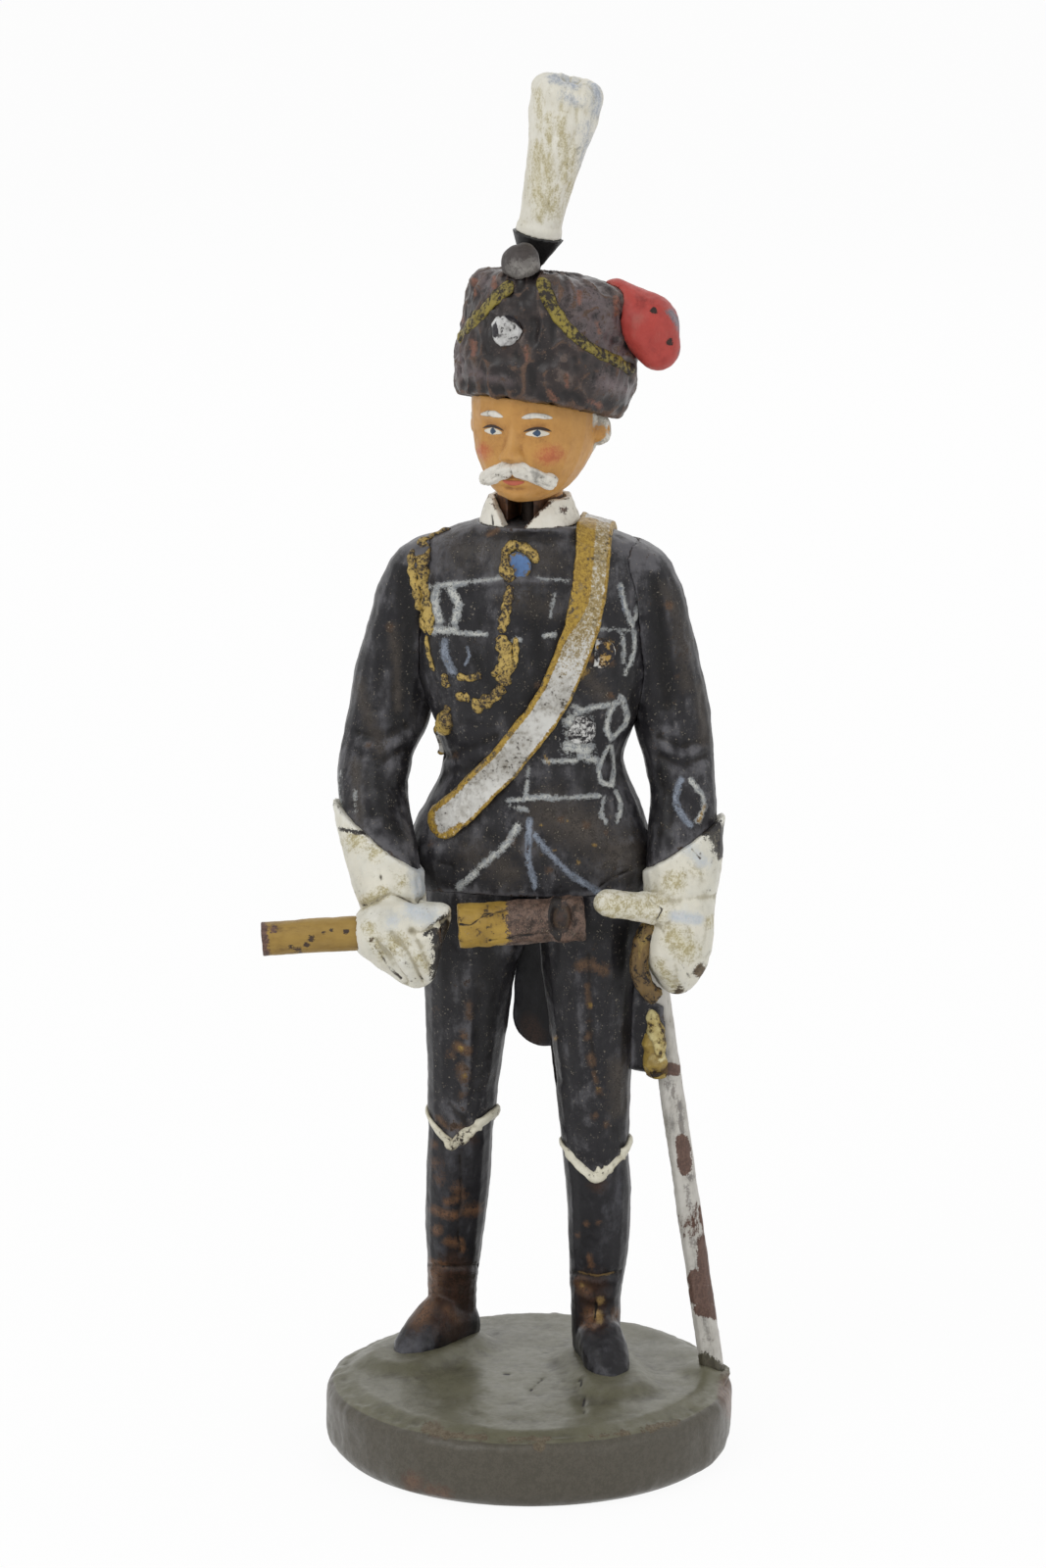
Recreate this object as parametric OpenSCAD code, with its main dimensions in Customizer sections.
// Toy soldier in hussar dress: a composition figure moulded round iron wires,
// on a round base, with a plug-in head, plume and baton.
// The figure faces -Y, its left hand is towards +X, and the base stands on z = 0.

/* [Base] */
// Diameter of the round base
base_d = 28; // [26:0.5:34]
// Thickness of the base
base_h = 5.2; // [4:0.1:8]
// Radius of the base's top edge
base_edge = 0.8; // [0.3:0.1:1.2]
// Radius of the base's bottom edge
base_foot = 1.4; // [0.4:0.1:2]

/* [Armature wires] */
// Diameter of the leg wires
leg_wire_d = 1.0; // [0.6:0.1:1.4]
// Diameter of the arm wires
arm_wire_d = 0.8; // [0.5:0.1:1.2]
// Diameter of the neck wire
neck_wire_d = 1.1; // [0.7:0.1:1.4]
// How deep the leg wires go into the base
wire_depth = 3.6; // [2:0.1:3.8]
// Radial clearance of a wire in its hole
wire_fit = 0.04; // [0.02:0.01:0.1]

/* [Legs and boots] */
// Height of the right boot at the sides of the leg
right_boot_h = 17.8; // [14:0.2:20]
// Height of the left boot at the sides of the leg
left_boot_h = 16.2; // [14:0.2:20]
// Height from the base to the tunic hem
leg_h = 34.6; // [30:0.2:40]
// Height of the ankle above the base
ankle_h = 4.6; // [4:0.1:5.5]
// Width of the ankle
ankle_w = 3.5; // [3:0.1:4.4]
// Width of the calf
calf_w = 4.5; // [3.8:0.1:5.4]
// Width of the knee
knee_w = 4.6; // [3.8:0.1:5.4]
// Width of the thigh at the hem
thigh_w = 7.2; // [6:0.1:8]
// Depth of the thigh at the hem
thigh_d = 7.4; // [6:0.1:8.4]
// Length of the foot
foot_l = 7.6; // [7:0.1:9.6]
// Width of the foot
foot_w = 3.5; // [3:0.1:4.2]
// Outward turn of the right foot
right_splay = 35; // [10:1:45]
// Outward turn of the left foot
left_splay = 17; // [5:1:40]
// Depth of the V in the boot top
boot_notch = 2.0; // [1:0.1:3]
// Width of the lace on the boot top
lace_w = 1.2; // [0.6:0.1:1.8]
// Thickness of the lace on the boot top
lace_t = 0.25; // [0.15:0.05:0.5]

/* [Tunic] */
// Height of the skirt, hem to waist
skirt_h = 8.8; // [7:0.2:11]
// Height of the trunk, waist to shoulder
chest_h = 14.2; // [12:0.2:17]
// Height of the shoulder slope, shoulder to collar
slope_h = 1.9; // [1.2:0.1:2.6]
// Width at the hem
hem_w = 15.4; // [14.4:0.2:17]
// Depth at the hem
hem_d = 10.2; // [9:0.2:11.4]
// Width at the waist
waist_w = 12.6; // [11:0.2:14]
// Depth at the waist
waist_d = 8.8; // [7.6:0.2:10]
// Width at the chest
chest_w = 15.6; // [14.6:0.2:17]
// Depth at the chest
chest_d = 10.0; // [8.6:0.2:11.4]

/* [Arms and gloves] */
// Width of the sleeve
sleeve_w = 4.7; // [4:0.1:5.4]
// Width of the gauntlet at its top
gauntlet_w = 5.6; // [4.8:0.1:6]
// Width of the wrist
wrist_w = 4.6; // [3.8:0.1:5]
// Width of the hand
hand_w = 4.6; // [4.2:0.1:5.2]
// Gap between the waist and the sleeve
elbow_gap = 2.2; // [1.4:0.1:3.2]
// Slope of the gauntlet's top edge
cuff_slope = 34; // [10:1:45]

/* [Head and cap] */
// Height of the collar
collar_h = 1.7; // [1.2:0.1:2.4]
// Wall of the collar at its top
collar_t = 0.4; // [0.3:0.05:1]
// How much wider the collar is at its foot
collar_flare = 0.6; // [0:0.1:0.8]
// Diameter of the neck
neck_d = 4.4; // [3.8:0.1:5]
// Width of the broken gap at the collar's foot
collar_gap = 1.4; // [0.8:0.1:2]
// Width of the broken gap at the collar's top
collar_gap_top = 4; // [2:0.1:4.6]
// Gap round the parts that turn
turn_gap = 0.2; // [0.15:0.05:0.4]
// Height of the face, chin to cap rim
face_h = 7.2; // [6.4:0.1:8.4]
// Width of the head
head_w = 8.8; // [7.8:0.1:9.8]
// Depth of the head
head_d = 10.0; // [9:0.1:11]
// Turn of the head to the figure's right
head_turn = 14; // [0:1:25]
// Height of the fur cap
cap_h = 8.7; // [7.6:0.1:10]
// Width of the cap at its widest
cap_w = 12.2; // [11:0.1:13.4]
// Width of the cap at its top
cap_top_w = 11; // [9:0.1:11.4]
// Lean of the cap to the figure's left
cap_lean = 5; // [0:1:8]
// Lean of the cap to the back
cap_back = 12; // [0:1:15]
// Diameter of the cap cords
cap_cord_d = 0.9; // [0.5:0.1:1.2]
// Diameter of the cap badge
badge_d = 2.2; // [1.4:0.1:3]
// Diameter of the knob on the cap's top edge
cockade_d = 2.6; // [2:0.1:3.2]

/* [Plume] */
// Length of the plume
plume_l = 10.6; // [9:0.2:13]
// Diameter of the plume at its foot
plume_foot_d = 2.9; // [2.4:0.1:3.4]
// Diameter of the plume near its top
plume_top_d = 4.6; // [3.6:0.1:5.4]
// Lean of the plume to the figure's left
plume_lean = 13; // [0:1:18]
// Height of the funnel that holds the plume
socket_h = 2.2; // [1.6:0.1:3]
// Diameter of the funnel at its mouth
socket_d = 3.5; // [3:0.1:4]
// Diameter of the wire in the plume
plume_wire_d = 0.7; // [0.5:0.05:0.9]
// Diameter of the funnel's spike in the cap
spike_d = 1.3; // [1.2:0.05:1.6]
// Length of the funnel's spike in the cap
spike_l = 3.0; // [2:0.1:4]

/* [Belts and decorations] */
// Width of the pouch belt
belt_w = 2.2; // [1.6:0.1:2.8]
// Thickness of the pouch belt
belt_t = 0.45; // [0.3:0.05:0.7]
// Width of the cartridge pouch
pouch_w = 6.4; // [5:0.1:7]
// Height of the cartridge pouch
pouch_h = 4.0; // [3:0.1:5]
// Thickness of the cartridge pouch
pouch_t = 1.3; // [0.8:0.1:1.8]
// Diameter of the shoulder cord
shoulder_cord_d = 1.0; // [0.6:0.1:1.3]
// Diameter of the order below the collar
order_d = 1.8; // [1.2:0.1:2.4]
// Diameter of a breast star
star_d = 2.1; // [1.6:0.1:2.8]

/* [Sabre and baton] */
// Width of the scabbard
scabbard_w = 1.65; // [1.2:0.05:2.2]
// Thickness of the scabbard
scabbard_t = 1.2; // [0.8:0.05:1.6]
// Distance of the scabbard's foot from the base's edge
scabbard_inset = 1.2; // [1.1:0.1:3]
// How deep the scabbard's foot sits in the base
scabbard_depth = 1.6; // [1:0.1:3]
// Diameter of the guard's rod
guard_d = 1.2; // [0.8:0.1:1.5]
// Diameter of the baton's rod
rod_d = 2.3; // [1.8:0.1:2.6]
// Length of the rod outside the fist
rod_l = 7.4; // [5:0.2:10]
// Depth of the rod in the fist
rod_depth = 4.6; // [3:0.1:5]
// Radial clearance of the rod in the fist
rod_fit = 0.05; // [0.02:0.01:0.1]
// Diameter of the baton's moulded end
baton_d = 2.9; // [2.2:0.1:3.2]
// Length of the baton's moulded end
baton_l = 8.4; // [6:0.2:9]

/* [Hidden] */
$fn = 48;
// Sides of a ring on trunk and head, on a limb, and on a cord
trunk_sides = 28;
limb_sides = 18;
cord_sides = 8;
// Larger than the figure, for half spaces
far = 60;

// Levels
hem_z = base_h + leg_h;
waist_z = hem_z + skirt_h;
shoulder_z = waist_z + chest_h;
collar_z = shoulder_z + slope_h;
chin_z = collar_z + collar_h + turn_gap;
rim_z = chin_z + face_h;
cap_top_z = rim_z + cap_h;

// Places seen from above, where the limbs pass
trunk = [0, hem_d * 0.147];
neck = [-chest_w * 0.0064, chest_d * 0.1];
right_ankle = [-base_d * 0.2107, base_d * 0.1821];
right_hip = [-hem_w * 0.2532, hem_d * 0.1176];
right_knee = between(right_ankle, right_hip, 0.45) + knee_w * [0, -0.0967];
left_ankle = [base_d * 0.1571, base_d * 0.0786];
left_hip = [hem_w * 0.2468, hem_d * 0.1275];
left_knee = between(left_ankle, left_hip, 0.45) + knee_w * [0.05, -0.1076];
heel_back = foot_l * 0.24;

// Smooth lofts
// A station is [x, y, z, half width, half depth]; stations run upwards.
function blend(a, b, c, d, t) =
    0.5 * (2 * b + (c - a) * t + (2 * a - 5 * b + 4 * c - d) * t * t + (3 * b - a - 3 * c + d) * t * t * t);
function smooth(s, steps) = [
    for (i = [0 : len(s) - 2], j = [0 : steps - 1])
        blend(s[max(i - 1, 0)], s[i], s[i + 1], s[min(i + 2, len(s) - 1)], j / steps),
    s[len(s) - 1]];
function ring(s, sides, grow) = [
    for (i = [0 : sides - 1])
        let (a = 360 * i / sides)
        [s[0] + (s[3] + grow) * cos(a), s[1] + (s[4] + grow) * sin(a), s[2]]];
function wall_faces(rings, sides) = [
    for (r = [0 : rings - 2], i = [0 : sides - 1])
        let (a = r * sides + i, b = r * sides + (i + 1) % sides)
        each [[a, a + sides, b + sides], [a, b + sides, b]]];
module loft(stations, sides, steps = 3, grow = 0) {
    rows = smooth(stations, steps);
    last = (len(rows) - 1) * sides;
    polyhedron(
        points = [for (s = rows) each ring(s, sides, grow)],
        faces = [[for (i = [0 : sides - 1]) i],
                 each wall_faces(len(rows), sides),
                 [for (i = [sides - 1 : -1 : 0]) last + i]]);
}

// A round tube along points
function along(p, i) = let (d = p[min(i + 1, len(p) - 1)] - p[max(i - 1, 0)]) d / norm(d);
function tube_ring(c, d, r, up) =
    let (u = cross(up, d) / norm(cross(up, d)), v = cross(d, u))
    [for (i = [0 : cord_sides - 1]) let (a = 360 * i / cord_sides) c + r * (cos(a) * u + sin(a) * v)];
module tube(points, r, up = [0, -1, 0]) {
    last = (len(points) - 1) * cord_sides;
    polyhedron(
        points = [for (i = [0 : len(points) - 1]) each tube_ring(points[i], along(points, i), r, up)],
        faces = [[for (i = [0 : cord_sides - 1]) i],
                 each wall_faces(len(points), cord_sides),
                 [for (i = [cord_sides - 1 : -1 : 0]) last + i]]);
}

// A straight round rod between two points
module rod(a, b, r, sides = $fn) {
    d = b - a;
    translate(a)
        rotate([0, acos(d[2] / norm(d)), atan2(d[1], d[0])])
            cylinder(r = r, h = norm(d), $fn = sides);
}
function between(a, b, t) = a + (b - a) * t;
function at(place, z) = [place[0], place[1], z];

// Legs: one smooth form from ankle to hem, cut into boot and breeches by a V
function leg_line(ankle, hip, z) =
    between(at(ankle, base_h + ankle_h), at(hip, hem_z), (z - base_h - ankle_h) / (hem_z - base_h - ankle_h));
function leg_stations(ankle, knee, hip, boot_z, calf_out) =
    let (low = base_h + ankle_h * 0.2174, foot = leg_line(ankle, hip, low))
    [[foot[0], foot[1], low, ankle_w / 2, ankle_w / 2],
     [ankle[0], ankle[1], base_h + ankle_h, ankle_w / 2, ankle_w * 0.5286],
     each [for (t = [0.35, 0.7])
         let (c = between(ankle, knee, t))
         [c[0] + calf_out, c[1], between(base_h + ankle_h, boot_z, t), between(ankle_w, calf_w, t + 0.32) / 2,
          between(ankle_w, calf_w, t + 0.3) / 2 + calf_w * 0.0333]],
     [knee[0], knee[1], boot_z, knee_w / 2, knee_w * 0.5435],
     each [for (t = [0.35, 0.7])
         let (c = between(knee, hip, t))
         [c[0], c[1], between(boot_z, hem_z, t), between(knee_w, thigh_w, t * 1.05) / 2,
          between(knee_w, thigh_d, t * 0.9) / 2 + knee_w * 0.0435]],
     [hip[0], hip[1], hem_z, thigh_w / 2, thigh_d / 2]];
// A leg is [ankle, knee, hip, boot top, splay of the foot, outward bow of the calf]
right_leg = [right_ankle, right_knee, right_hip, base_h + right_boot_h, -right_splay, 0];
left_leg = [left_ankle, left_knee, left_hip, base_h + left_boot_h, left_splay, calf_w * 0.05];
module leg_form(leg, grow = 0) loft(leg_stations(leg[0], leg[1], leg[2], leg[3], leg[5]), limb_sides, 3, grow);

// Everything below a V that dips at the shin, raised by lift; it turns out less than the foot
notch_turn = 0.35;
module below_notch(leg, lift = 0) {
    side = far * boot_notch * 2 / knee_w;
    translate([leg[1][0], leg[1][1], leg[3] - boot_notch + lift])
        rotate([90, 0, leg[4] * notch_turn])
            linear_extrude(far, center = true)
                polygon([[-far, -far], [far, -far], [far, side], [0, 0], [-far, side]]);
}
module leg_wire_path(leg, r) {
    rod(leg_line(leg[0], leg[2], base_h - wire_depth), leg_line(leg[0], leg[2], waist_z - skirt_h * 0.1136), r, 12);
}
module foot(leg) {
    h = ankle_h * 0.2174;
    translate([leg[0][0], leg[0][1], base_h])
        rotate([90, 0, leg[4]])
            translate([0, h * 0.5, -heel_back])
                loft([[0, h * 0.5, 0, foot_w * 0.3, h * 0.9],
                      [0, h * 1.2, foot_l * 0.12, foot_w * 0.43, h * 1.9],
                      [0, h * 1.5, foot_l * 0.42, foot_w * 0.45, h * 2.3],
                      [0, h * 0.9, foot_l * 0.66, foot_w * 0.47, h * 1.75],
                      [0, h * 0.25, foot_l * 0.88, foot_w * 0.34, h * 1.0],
                      [0, 0, foot_l, foot_w * 0.09, h * 0.35]], limb_sides, 2);
}
module boot(leg) {
    color("#26262b")
        difference() {
            union() {
                intersection() {
                    leg_form(leg);
                    below_notch(leg);
                }
                foot(leg);
            }
            translate([0, 0, base_h - far]) linear_extrude(far) square(far, center = true);
            leg_wire_path(leg, leg_wire_d / 2 + wire_fit);
        }
}
module boot_lace(leg) {
    color("#d8d2bd")
        difference() {
            leg_form(leg, lace_t);
            leg_form(leg);
            below_notch(leg, -lace_w / 2);
            difference() {
                translate([0, 0, base_h]) linear_extrude(far) square(far, center = true);
                below_notch(leg, lace_w / 2);
            }
        }
}
module breeches(leg, side) {
    color("#2b2b31")
        difference() {
            leg_form(leg);
            below_notch(leg);
            translate([trunk[0] - side * far / 2, 0, base_h]) linear_extrude(far) square(far, center = true);
            leg_wire_path(leg, leg_wire_d / 2 + wire_fit);
        }
}
module leg_wire(leg) {
    color("#5a4636") leg_wire_path(leg, leg_wire_d / 2);
}

module base() {
    color("#5b5a45")
        difference() {
            rotate_extrude()
                union() {
                    square([base_d / 2 - base_foot, base_h - base_edge]);
                    square([base_d / 2 - base_edge, base_h]);
                    translate([0, base_foot]) square([base_d / 2, base_h - base_edge - base_foot]);
                    translate([base_d / 2 - base_edge, base_h - base_edge]) circle(base_edge);
                    translate([base_d / 2 - base_foot, base_foot]) circle(base_foot);
                }
            leg_wire_path(right_leg, leg_wire_d / 2 + wire_fit);
            leg_wire_path(left_leg, leg_wire_d / 2 + wire_fit);
            scabbard_form(wire_fit);
        }
}

// Tunic: skirt, waist, chest and shoulder slope
collar_r = neck_d / 2 + turn_gap + collar_t + collar_flare;
tunic_stations = [
    [trunk[0], trunk[1], hem_z, hem_w / 2, hem_d / 2],
    [trunk[0], trunk[1], hem_z + skirt_h * 0.5, between(hem_w, waist_w, 0.2) / 2, between(hem_d, waist_d, 0.4) / 2],
    [trunk[0] + waist_w * 0.0278, trunk[1], waist_z, waist_w / 2, waist_d / 2],
    [trunk[0], trunk[1], waist_z + chest_h * 0.4, chest_w / 2,
     between(waist_d, chest_d, 0.8) / 2],
    [trunk[0], trunk[1], waist_z + chest_h * 0.75, chest_w / 2, chest_d / 2],
    [trunk[0], trunk[1], shoulder_z, chest_w * 0.4872, chest_d * 0.4],
    [trunk[0], trunk[1], shoulder_z + slope_h * 0.6, chest_w * 0.3718, chest_d * 0.36],
    [neck[0], neck[1], collar_z, collar_r * 1.0588, collar_r * 1.0588]];
module tunic_form(grow = 0) loft(tunic_stations, trunk_sides, 3, grow);
// Half width and half depth of the trunk at a height, and its front surface
function trunk_at(z) =
    let (s = tunic_stations, i = max([for (k = [0 : len(s) - 2]) if (s[k][2] <= z) k]))
    between(s[i], s[i + 1], (z - s[i][2]) / (s[i + 1][2] - s[i][2]));
function front_y(x, z) =
    let (s = trunk_at(z)) s[1] - s[4] * sqrt(max(0, 1 - pow((x - s[0]) / s[3], 2)));
module tunic() {
    color("#2e2e34")
        difference() {
            tunic_form();
            leg_wire_path(right_leg, leg_wire_d / 2 + wire_fit);
            leg_wire_path(left_leg, leg_wire_d / 2 + wire_fit);
            arm_wire_path(right_arm, arm_wire_d / 2 + wire_fit);
            arm_wire_path(left_arm, arm_wire_d / 2 + wire_fit);
            neck_wire_path(neck_wire_d / 2 + wire_fit);
        }
}

// Arms: [shoulder, elbow, wrist, hand, fingertips] on each side
elbow_x = waist_w / 2 + elbow_gap + sleeve_w / 2;
right_arm = [[-chest_w * 0.4872, chest_d * 0.18, shoulder_z - sleeve_w * 0.2128],
             [-elbow_x, chest_d * 0.08, waist_z - sleeve_w * 0.383],
             [-(hem_w / 2 + gauntlet_w * 0.22), -hem_d * 0.3922, hem_z - wrist_w * 0.0889],
             [-hem_w * 0.5065, -hem_d * 0.5588, hem_z - hand_w * 0.6087],
             [-hem_w * 0.461, -hem_d * 0.5686, hem_z - hand_w * 1.2609]];
left_arm = [[chest_w * 0.4744, chest_d * 0.18, shoulder_z - sleeve_w * 0.2128],
            [elbow_x - sleeve_w * 0.1277, chest_d * 0.16, waist_z - sleeve_w * 0.383],
            [hem_w / 2 + gauntlet_w * 0.46, -hem_d * 0.1176, hem_z - wrist_w * 0.2667],
            [hem_w / 2 + gauntlet_w * 0.43, -hem_d * 0.1176, hem_z - hand_w * 0.8696],
            [hem_w / 2 + gauntlet_w * 0.43, -hem_d * 0.098, hem_z - hand_w * 1.5217]];
function sleeve_stations(arm, side) =
    let (s = arm[0], e = arm[1], w = arm[2], half = sleeve_w / 2, full = side < 0 ? 1.06 : 1,
         low = between(w, e, 0.5), mid = between(e, s, 0.35), high = between(e, s, 0.7))
    [[w[0], w[1], w[2], wrist_w * 0.4778, wrist_w * 0.4556],
     [low[0], low[1] - half * 0.0851, low[2], half, half * 0.9574],
     [e[0], e[1], e[2], half * full * 0.9787, half * 1.0851],
     [mid[0] - side * half * 0.04, mid[1] + half * 0.5106, mid[2], half * full * 1.17, half * 1.1277],
     [high[0] - side * half * 0.02, high[1] + half * 0.2979, high[2], half * full * 1.06, half * 1.1702],
     [s[0] - side * half * 0.0851, s[1], s[2], half * 0.9574, half * 1.1277],
     [s[0] - side * half * 0.4681, s[1] - half * 0.0426, shoulder_z + slope_h * 0.25, half * 0.55, half * 0.7],
     [s[0] - side * half * 0.5957, s[1] - half * 0.0851, shoulder_z + slope_h * 0.4, half * 0.1277, half * 0.1702]];
function glove_stations(arm) =
    let (e = arm[1], w = arm[2], h = arm[3], f = arm[4],
         tip = between(f, h, 0.25), low = between(w, e, 0.5), top = between(w, e, 0.95))
    [[f[0], f[1], f[2], hand_w * 0.1087, hand_w * 0.1087],
     [tip[0], tip[1], tip[2], hand_w * 0.3, hand_w * 0.28],
     [h[0], h[1], h[2], hand_w / 2, hand_w * 0.5],
     [w[0], w[1], w[2], wrist_w / 2, wrist_w * 0.4778],
     [low[0], low[1] - gauntlet_w * 0.037, low[2], gauntlet_w / 2, gauntlet_w * 0.4815],
     [top[0], top[1], top[2], gauntlet_w * 0.5185, gauntlet_w * 0.5185]];
// Everything above the sloping top edge of a gauntlet
module above_cuff(arm, side) {
    m = between(arm[2], arm[1], 0.52);
    translate(m) rotate([0, -side * cuff_slope, 0]) translate([-far / 2, -far / 2, 0]) cube(far);
}
module arm_wire_path(arm, r) {
    inner = [arm[0][0] * 0.62, arm[0][1], arm[0][2] - sleeve_w * 0.3404];
    turn = arm[0] + sleeve_w * [0, 0.0426, -0.5106];
    elbow = arm[1] + sleeve_w * [0, 0.0638, 0];
    tube([arm[2], elbow, between(elbow, turn, 0.85), between(inner, turn, 0.7), inner], r);
}
module arm_wire(arm) {
    color("#5a4636") arm_wire_path(arm, arm_wire_d / 2);
}
module sleeve(arm, side) {
    color("#2e2e34")
        difference() {
            loft(sleeve_stations(arm, side), limb_sides);
            tunic_form();
            difference() {
                translate([-far / 2, -far / 2, 0]) cube([far, far, shoulder_z - chest_h * 0.2817]);
                above_cuff(arm, side);
            }
            arm_wire_path(arm, arm_wire_d / 2 + wire_fit);
        }
}
module thumb(a, b, ra, rb) {
    hull() {
        translate(a) sphere(ra, $fn = 24);
        translate(b) sphere(rb, $fn = 24);
    }
}
module glove_form(arm, side) {
    difference() {
        loft(glove_stations(arm), limb_sides);
        above_cuff(arm, side);
    }
}
// The right hand closes round the baton's rod
module fist() {
    hull() {
        translate(rod_at(-rod_depth * 0.12)) sphere(rod_d / 2 + hand_w * 0.19, $fn = 24);
        translate(rod_at(-rod_depth * 0.66)) sphere(rod_d / 2 + hand_w * 0.17, $fn = 24);
        translate(rod_at(-rod_depth * 0.95) + [0, 0, rod_d * 0.32]) sphere(hand_w * 0.2, $fn = 24);
        translate(right_arm[3] + hand_w * [0.1, 0.02, -0.36]) sphere(hand_w * 0.3, $fn = 24);
    }
}
module glove_right() {
    color("#dcd8c6")
        difference() {
            union() {
                glove_form(right_arm, -1);
                fist();
            }
            rod(rod_at(-rod_depth), rod_at(rod_l + rod_depth), rod_d / 2 + rod_fit);
            arm_wire_path(right_arm, arm_wire_d / 2 + wire_fit);
            baton_head_form();
            tunic_form();
        }
}
module glove_left() {
    color("#dcd8c6")
        difference() {
            union() {
                glove_form(left_arm, 1);
                thumb(left_arm[2] + hand_w * [-0.2609, -0.3261, 0.087], thumb_tip, hand_w * 0.2391, hand_w * 0.1848);
            }
            arm_wire_path(left_arm, arm_wire_d / 2 + wire_fit);
            scabbard_form(wire_fit);
            tunic_form();
        }
}

// Collar, head and cap; the head's own parts are placed in a frame on the neck axis
module on_neck() translate([neck[0], neck[1], 0]) rotate([0, 0, -head_turn]) children();
module neck_wire_path(r) {
    translate([neck[0], neck[1], waist_z + chest_h * 0.35])
        cylinder(r = r, h = chin_z + face_h * 0.7 - waist_z - chest_h * 0.35);
}
module neck_wire() {
    color("#4c3a30") neck_wire_path(neck_wire_d / 2);
}
// The collar is broken open in a V below the chin
module collar() {
    inner = neck_d / 2 + turn_gap;
    low = collar_gap / 2;
    high = collar_gap_top / 2;
    color("#d9d4c2")
        translate([neck[0], neck[1], collar_z])
            difference() {
                rotate_extrude()
                    polygon([[inner, 0], [collar_r, 0], [inner + collar_t, collar_h], [inner, collar_h]]);
                rotate([90, 0, -head_turn])
                    linear_extrude(far)
                        polygon([[-low, -collar_h], [low, -collar_h], [low, 0], [high, collar_h], [high, collar_h * 2],
                                 [-high, collar_h * 2], [-high, collar_h], [-low, 0]]);
            }
}
head_off = [head_w * 0.0568, -head_d * 0.02];
module head_form() {
    w = head_w / 2;
    d = head_d / 2;
    loft([[head_off[0], head_off[1] - d * 0.34, chin_z, w * 0.3, d * 0.34],
          [head_off[0], head_off[1] - d * 0.22, chin_z + face_h * 0.1, w * 0.58, d * 0.66],
          [head_off[0], head_off[1] - d * 0.08, chin_z + face_h * 0.36, w * 0.84, d * 0.9],
          [head_off[0], head_off[1], chin_z + face_h * 0.68, w * 0.96, d * 0.98],
          [head_off[0], head_off[1], rim_z + face_h * 0.1389, w * 0.96, d * 0.98]], trunk_sides - 8);
}
module nose() {
    y = head_off[1] - head_d * 0.49;
    n = head_w * 0.1136;
    loft([[head_off[0], y + n * 0.35, chin_z + face_h * 0.38, n * 0.35, n * 0.45],
          [head_off[0], y, chin_z + face_h * 0.44, n * 0.75, n * 0.85],
          [head_off[0], y + n * 0.2, chin_z + face_h * 0.56, n * 0.5, n * 0.6],
          [head_off[0], y + n * 0.5, chin_z + face_h * 0.78, n * 0.35, n * 0.4]], 12, 2);
}
module head() {
    color("#c08a52")
        difference() {
            on_neck()
                union() {
                    head_form();
                    nose();
                    for (side = [-1, 1])
                        translate([head_off[0] + side * head_w * 0.45, head_off[1] + head_d * 0.09, chin_z + face_h * 0.62])
                            sphere(r = head_w * 0.1136, $fn = 24);
                    difference() {
                        translate([0, 0, collar_z + turn_gap]) cylinder(d = neck_d, h = collar_h + face_h * 0.3);
                        // the front of the neck is broken away, so that the wire shows
                        translate([-neck_wire_d * 0.818, -neck_d, collar_z])
                            cube([neck_wire_d * 1.636, neck_d + neck_wire_d / 2, collar_h + turn_gap]);
                    }
                }
            neck_wire_path(neck_wire_d / 2 + wire_fit);
            cap_form_placed();
        }
}
module moustache() {
    y = head_off[1] - head_d * 0.47;
    z = chin_z + face_h * 0.33;
    n = head_w * 0.1136;
    color("#e4e1d6")
        on_neck()
            difference() {
                for (side = [-1, 1])
                    hull() {
                        translate([head_off[0] + side * n * 0.4, y + n * 0.1, z]) sphere(n * 0.6, $fn = 20);
                        translate([head_off[0] + side * n * 2.2, y + n, z - n * 0.9]) sphere(n * 0.5, $fn = 20);
                    }
                head_form();
                nose();
            }
}
cap_off = [cap_w * 0.0738, -cap_w * 0.0246];
cap_stations = [
    [cap_off[0], cap_off[1], rim_z, cap_w * 0.45, cap_w * 0.46],
    [cap_off[0], cap_off[1], rim_z + cap_h * 0.22, cap_w / 2, cap_w / 2],
    [cap_off[0], cap_off[1], rim_z + cap_h * 0.55, cap_w * 0.49, cap_w * 0.49],
    [cap_off[0], cap_off[1], rim_z + cap_h * 0.85, between(cap_w, cap_top_w, 0.5) / 2, between(cap_w, cap_top_w, 0.5) / 2],
    [cap_off[0], cap_off[1], rim_z + cap_h * 0.96, cap_top_w * 0.44, cap_top_w * 0.44],
    [cap_off[0], cap_off[1], cap_top_z, cap_top_w * 0.2, cap_top_w * 0.2]];
module cap_form() loft(cap_stations, trunk_sides - 4);
// The cap leans to the back and over the figure's left ear, about the front of its rim
rim_front = [cap_off[0], cap_off[1] - cap_w * 0.46, rim_z];
module on_head() {
    on_neck()
        translate(rim_front)
            rotate([-cap_back, cap_lean, 0])
                translate(-rim_front)
                    children();
}
module cap_form_placed() on_head() cap_form();
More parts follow.
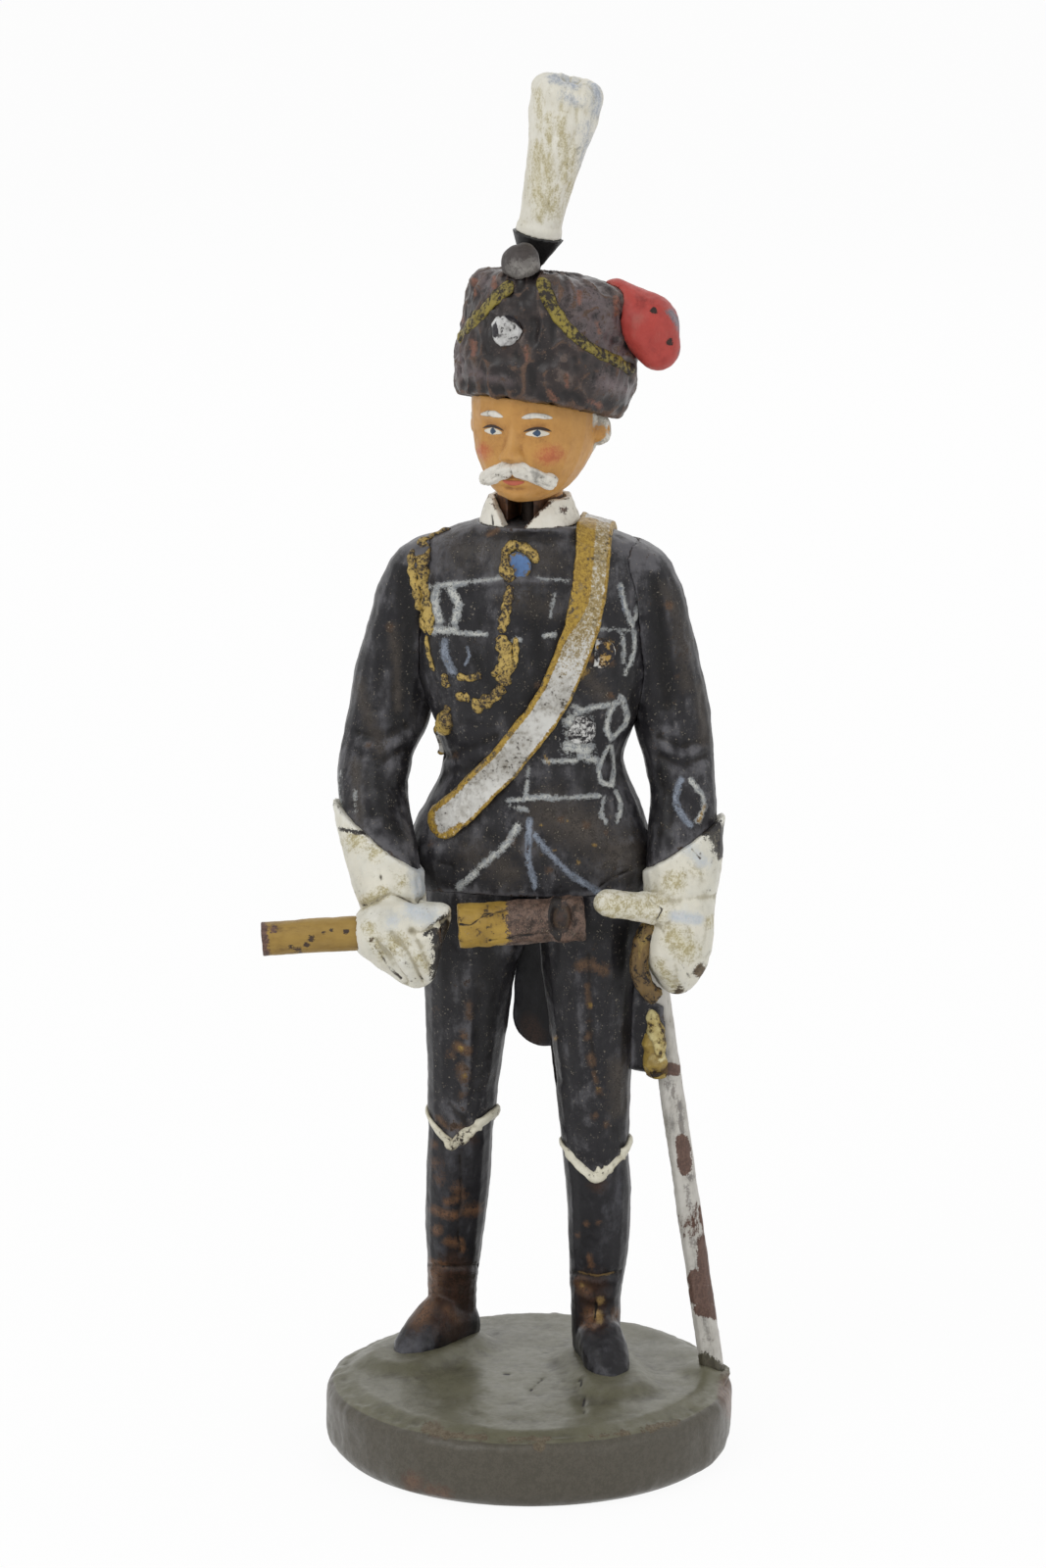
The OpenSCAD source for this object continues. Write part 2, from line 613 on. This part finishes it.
// A point on the cap at an angle from its front, towards the figure's left
function on_cap(angle, h) =
    let (s = cap_stations, z = rim_z + h,
         i = max([for (k = [0 : len(s) - 2]) if (s[k][2] <= z) k]),
         q = between(s[i], s[i + 1], (z - s[i][2]) / (s[i + 1][2] - s[i][2])))
    [q[0] + q[3] * sin(angle), q[1] - q[4] * cos(angle), z];
module cap() {
    color("#3a2f2b")
        difference() {
            cap_form_placed();
            on_plume() translate([0, 0, -spike_l - wire_fit]) cylinder(d = spike_d + 2 * wire_fit, h = far);
        }
}
module cap_bag() {
    color("#a5342c")
        on_head()
            difference() {
                hull() {
                    translate(on_cap(80, cap_h * 0.86) + cap_w * [-0.1, 0.0328, 0.01]) sphere(cap_w * 0.107, $fn = 24);
                    translate(on_cap(80, cap_h * 0.68) + cap_w * [0.082, 0.041, 0.02]) sphere(cap_w * 0.168, $fn = 24);
                    translate(on_cap(84, cap_h * 0.53) + cap_w * [0.131, 0.0492, 0.02]) sphere(cap_w * 0.123, $fn = 24);
                }
                cap_form();
            }
}
module cap_cords() {
    steps = 8;
    color("#9c7d32")
        on_head()
            difference() {
                for (ends = [[-10, -74, 0.84, 0.52], [-10, 74, 0.84, 0.14]])
                    tube([for (i = [0 : steps])
                        let (t = i / steps)
                        on_cap(between(ends[0], ends[1], t), cap_h * between(ends[2], ends[3], t))],
                        cap_cord_d / 2, [0, 0, 1]);
                cap_form();
            }
}
module cap_badge() {
    color("#c9c9c9")
        on_head()
            difference() {
                translate(on_cap(-10, cap_h * 0.5)) sphere(d = badge_d, $fn = 32);
                cap_form();
            }
}
module cockade() {
    color("#6b6660")
        difference() {
            on_head()
                difference() {
                    translate(on_cap(-12, cap_h * 0.93) + cockade_d * [0, -0.0385, 0.3]) sphere(d = cockade_d);
                    cap_form();
                }
            on_plume() cylinder(d1 = spike_d + 4 * turn_gap, d2 = socket_d + 2 * turn_gap, h = socket_h);
            on_plume() translate([0, 0, socket_h]) cylinder(d = socket_d + 2 * turn_gap, h = plume_l);
        }
}

// Plume: its frame stands on the cap with +Z along the plume
plume_foot = [-cap_w * 0.036, -cap_w * 0.1967, cap_top_z + cap_h * 0.023];
module on_plume() {
    on_head()
        translate(plume_foot)
            rotate([cap_back, 0, 0])
                rotate([0, plume_lean - cap_lean, 0])
                    children();
}
module plume_socket() {
    color("#1d1d1f")
        on_plume()
            difference() {
                union() {
                    translate([0, 0, socket_h * 0.1364]) cylinder(d1 = spike_d * 1.2308, d2 = socket_d, h = socket_h * 0.8636);
                    translate([0, 0, -spike_l]) cylinder(d = spike_d, h = spike_l + socket_h * 0.2727);
                }
                translate([0, 0, -spike_l * 0.6]) cylinder(d = plume_wire_d + 2 * wire_fit, h = far);
            }
}
module plume_profile() {
    r0 = plume_foot_d / 2;
    r1 = plume_top_d / 2;
    polygon([[0, 0], [r0 * 1.069, 0], [r0 * 1.069, plume_l * 0.0472], [r0, plume_l * 0.0755],
             each [for (t = [0.15 : 0.1 : 0.75]) [between(r0, r1, pow(t / 0.75, 2)), plume_l * t]],
             each [for (a = [0 : 18 : 90]) [r1 * (0.62 + 0.38 * cos(a)), plume_l * (0.88 + 0.12 * sin(a))]],
             [0, plume_l * 0.97]]);
}
module plume() {
    color("#dedac9")
        on_plume()
            difference() {
                translate([0, 0, socket_h]) rotate_extrude() plume_profile();
                translate([0, 0, socket_h - 1]) cylinder(d = plume_wire_d + 2 * wire_fit, h = plume_l * 0.6 + 1);
            }
}
module plume_wire() {
    color("#5a4636")
        on_plume()
            translate([0, 0, -spike_l * 0.6 + wire_fit])
                cylinder(d = plume_wire_d, h = spike_l * 0.6 + socket_h + plume_l * 0.6 - 2 * wire_fit);
}

// Belts and decorations on the trunk
// The pouch belt's runs from the left shoulder, in shares of the chest's width and height
front_run = [[0.28, 1.3], [0.28, 1.03], [0.27, 0.86], [0.24, 0.68], [0.185, 0.51], [0.127, 0.36], [0.06, 0.24],
             [-0.01, 0.14], [-0.1, 0.01], [-0.18, -0.08], [-0.28, -0.2], [-0.37, -0.29]];
back_run = [[0.28, 1.3], [0.28, 1.03], [0.25, 0.85], [0.16, 0.65], [0.02, 0.48], [-0.14, 0.32], [-0.28, 0.17],
            [-0.38, 0.06]];
function run_along(p, i) = let (d = p[min(i + 1, len(p) - 1)] - p[max(i - 1, 0)]) d / norm(d);
function run_side(p, i) = let (d = run_along(p, i)) [-d[1], d[0]];
function run_outline(p, w) =
    let (last = len(p) - 1)
    [for (i = [0 : last]) p[i] + run_side(p, i) * w / 2,
     for (a = [30 : 30 : 150]) p[last] + (run_side(p, last) * cos(a) + run_along(p, last) * sin(a)) * w / 2,
     for (i = [last : -1 : 0]) p[i] - run_side(p, i) * w / 2];
// A run cut through everything behind or before the middle of the trunk
module belt_run(run, back) {
    line = [for (p = run) [chest_w * p[0], waist_z + chest_h * p[1]]];
    translate([0, trunk[1] + (back ? far : belt_w * 0.2), 0])
        rotate([90, 0, 0])
            linear_extrude(far) polygon(run_outline(line, belt_w));
}
module pouch_belt() {
    color("#c3bfb0")
        difference() {
            intersection() {
                translate([0, 0, belt_t * 0.6]) tunic_form(belt_t);
                union() {
                    belt_run(front_run, false);
                    belt_run(back_run, true);
                }
            }
            tunic_form();
            for (arm = [[right_arm, -1], [left_arm, 1]]) loft(sleeve_stations(arm[0], arm[1]), limb_sides);
            translate([neck[0], neck[1], waist_z])
                cylinder(r = collar_r + wire_fit, h = far);
            pouch_form();
        }
}
module pouch_form() {
    translate([trunk[0] - chest_w * 0.141, trunk[1] + chest_d * 0.41, waist_z + chest_h * 0.32])
        rotate([-90, 12, 0])
            linear_extrude(pouch_t + chest_d * 0.09) square([pouch_w, pouch_h], center = true);
}
module cartridge_pouch() {
    color("#232326")
        difference() {
            pouch_form();
            tunic_form();
        }
}
// The cord runs from the right shoulder down the breast and up to the collar
cord_route = [[-0.4423, 0.92], [-0.4231, 0.72], [-0.3974, 0.52], [-0.3526, 0.36], [-0.2692, 0.28], [-0.1795, 0.32],
              [-0.1154, 0.46], [-0.0833, 0.64], [-0.0577, 0.82]];
module shoulder_cord() {
    color("#a78a3c")
        difference() {
            tube([for (p = cord_route)
                let (x = chest_w * p[0], z = waist_z + chest_h * p[1]) [x, front_y(x, z), z]], shoulder_cord_d / 2);
            tunic_form();
            loft(sleeve_stations(right_arm, -1), limb_sides);
        }
}
module stud(x, z, d, depth) {
    translate([x, front_y(x, z) - depth, z]) rotate([-90, 0, 0]) cylinder(d = d, h = depth + d * 0.55);
}
module neck_order() {
    color("#4a6a9c")
        difference() {
            stud(-chest_w * 0.04, waist_z + chest_h * 0.96, order_d, order_d * 0.2);
            tunic_form();
            shoulder_cord();
        }
}
module breast_stars() {
    color("#b8b6b0")
        difference() {
            for (place = [[0.312, 0.55], [0.2308, 0.18]])
                stud(chest_w * place[0], waist_z + chest_h * place[1], star_d, star_d * 0.12);
            tunic_form();
            pouch_belt();
        }
}

// Sabre at the left hip
scabbard_foot = [base_d / 2 - scabbard_inset, base_d * 0.0464, base_h - scabbard_depth];
scabbard_head = [left_hip[0] + thigh_w / 2 + scabbard_w * 0.558, left_hip[1] - thigh_d * 0.0135, left_arm[4][2] + hand_w * 0.3043];
module scabbard_form(grow = 0) {
    d = scabbard_head - scabbard_foot;
    w = scabbard_w / 2 + grow;
    t = scabbard_t / 2 + grow;
    translate(scabbard_foot)
        rotate([0, acos(d[2] / norm(d)), atan2(d[1], d[0])])
            linear_extrude(norm(d))
                polygon([[-w, -t * 0.4], [-w * 0.6, -t], [w * 0.6, -t], [w, -t * 0.4],
                         [w, t * 0.4], [w * 0.6, t], [-w * 0.6, t], [-w, t * 0.4]]);
}
module scabbard() {
    color("#b9b7b0") scabbard_form();
}
// Knuckle bow beside the left hand, from the thumb to the finger tips
module sabre_guard() {
    steps = 10;
    color("#8f7430")
        difference() {
            tube([for (i = [0 : steps])
                let (a = -80 + 160 * i / steps)
                left_arm[3] + hand_w * [-0.24 - 0.3 * cos(a), -0.2 - 0.08 * cos(a), -0.12 - 0.56 * sin(a)]], guard_d / 2);
            glove_form(left_arm, 1);
            leg_form(left_leg);
            scabbard_form(wire_fit);
            sling_form();
        }
}
module sword_knot() {
    s = between(scabbard_head, scabbard_foot, 0.14);
    k = scabbard_w * 0.6061;
    color("#b09340")
        difference() {
            translate([s[0] - k * 0.5, s[1] - scabbard_t / 2 - k * 0.2, s[2] - k * 2])
                rotate([0, -8, 0])
                    rotate_extrude()
                        polygon(k * [[0, -1.9], [0.85, -1.7], [0.95, -0.6], [0.6, 0.4], [0.75, 0.9], [0.45, 1.6], [0, 1.8]]);
            scabbard_form(wire_fit);
            sling_form();
        }
}
// Dark mass that ties the scabbard to the thigh
module sling_form() {
    thigh = [left_hip[0] + thigh_w * 0.3, left_hip[1] + thigh_d * 0.0405, hem_z];
    hull() {
        translate(thigh - [0, 0, leg_h * 0.2139]) sphere(thigh_w * 0.1667, $fn = 20);
        translate(thigh - [0, 0, leg_h * 0.3468]) sphere(thigh_w * 0.1389, $fn = 20);
        translate(between(scabbard_head, scabbard_foot, 0.1)) sphere(scabbard_w * 0.4848, $fn = 20);
        translate(between(scabbard_head, scabbard_foot, 0.231) - [scabbard_w * 0.176, 0, 0]) sphere(scabbard_w * 0.4848, $fn = 20);
    }
}
module sabre_sling() {
    color("#2b2b31")
        difference() {
            sling_form();
            leg_form(left_leg);
            scabbard_form(wire_fit);
            glove_form(left_arm, 1);
        }
}
module sabretache() {
    place = [left_hip[0] - thigh_w * 0.4306, left_hip[1] + thigh_d * 0.4189, hem_z];
    color("#29292e")
        difference() {
            translate(place)
                rotate([-90, 0, 0])
                    linear_extrude(thigh_d * 0.2162)
                        union() {
                            translate([0, leg_h * 0.297]) circle(thigh_w * 0.3194);
                            polygon([[-thigh_w * 0.2361, 0], [thigh_w * 0.2361, 0],
                                     [thigh_w * 0.3194, leg_h * 0.297], [-thigh_w * 0.3194, leg_h * 0.297]]);
                        }
            leg_form(left_leg);
            leg_form(right_leg);
        }
}

// Baton: a rod through the right fist and a moulded end on the hem
baton_axis = [-0.992, -0.108, -0.062];
function rod_at(t) = right_arm[3] + hand_w * [-0.5, -0.0435, 0.17] + baton_axis * t;
module baton_rod() {
    color("#a8893c") rod(rod_at(-rod_depth), rod_at(rod_l), rod_d / 2);
}
baton_start = rod_at(-rod_depth - hand_w * 0.2609);
thumb_tip = baton_start - baton_axis * (baton_l + hand_w * 0.3478) + hand_w * [0, -0.0652, 0.2174];
module baton_head_form() {
    rod(baton_start - baton_axis * baton_l, baton_start, baton_d / 2);
}
module baton_head() {
    color("#8c6f45")
        difference() {
            baton_head_form();
            rod(baton_start - baton_axis * (baton_l + baton_d * 0.345), baton_start - baton_axis * (baton_l - baton_d * 0.207), baton_d * 0.3276);
            tunic_form();
        }
}

base();
leg_wire(right_leg);  // leg_wire_right
leg_wire(left_leg);  // leg_wire_left
neck_wire();
arm_wire(right_arm);  // arm_wire_right
arm_wire(left_arm);  // arm_wire_left
boot(right_leg);  // boot_right
boot(left_leg);  // boot_left
boot_lace(right_leg);  // boot_lace_right
boot_lace(left_leg);  // boot_lace_left
breeches(right_leg, -1);  // breeches_right
breeches(left_leg, 1);  // breeches_left
tunic();
sleeve(right_arm, -1);  // sleeve_right
sleeve(left_arm, 1);  // sleeve_left
glove_right();
glove_left();
collar();
head();
moustache();
cap();
cap_bag();
cap_cords();
cap_badge();
cockade();
plume_socket();
plume();
plume_wire();
pouch_belt();
cartridge_pouch();
shoulder_cord();
neck_order();
breast_stars();
scabbard();
sabre_guard();
sword_knot();
sabre_sling();
sabretache();
baton_rod();
baton_head();
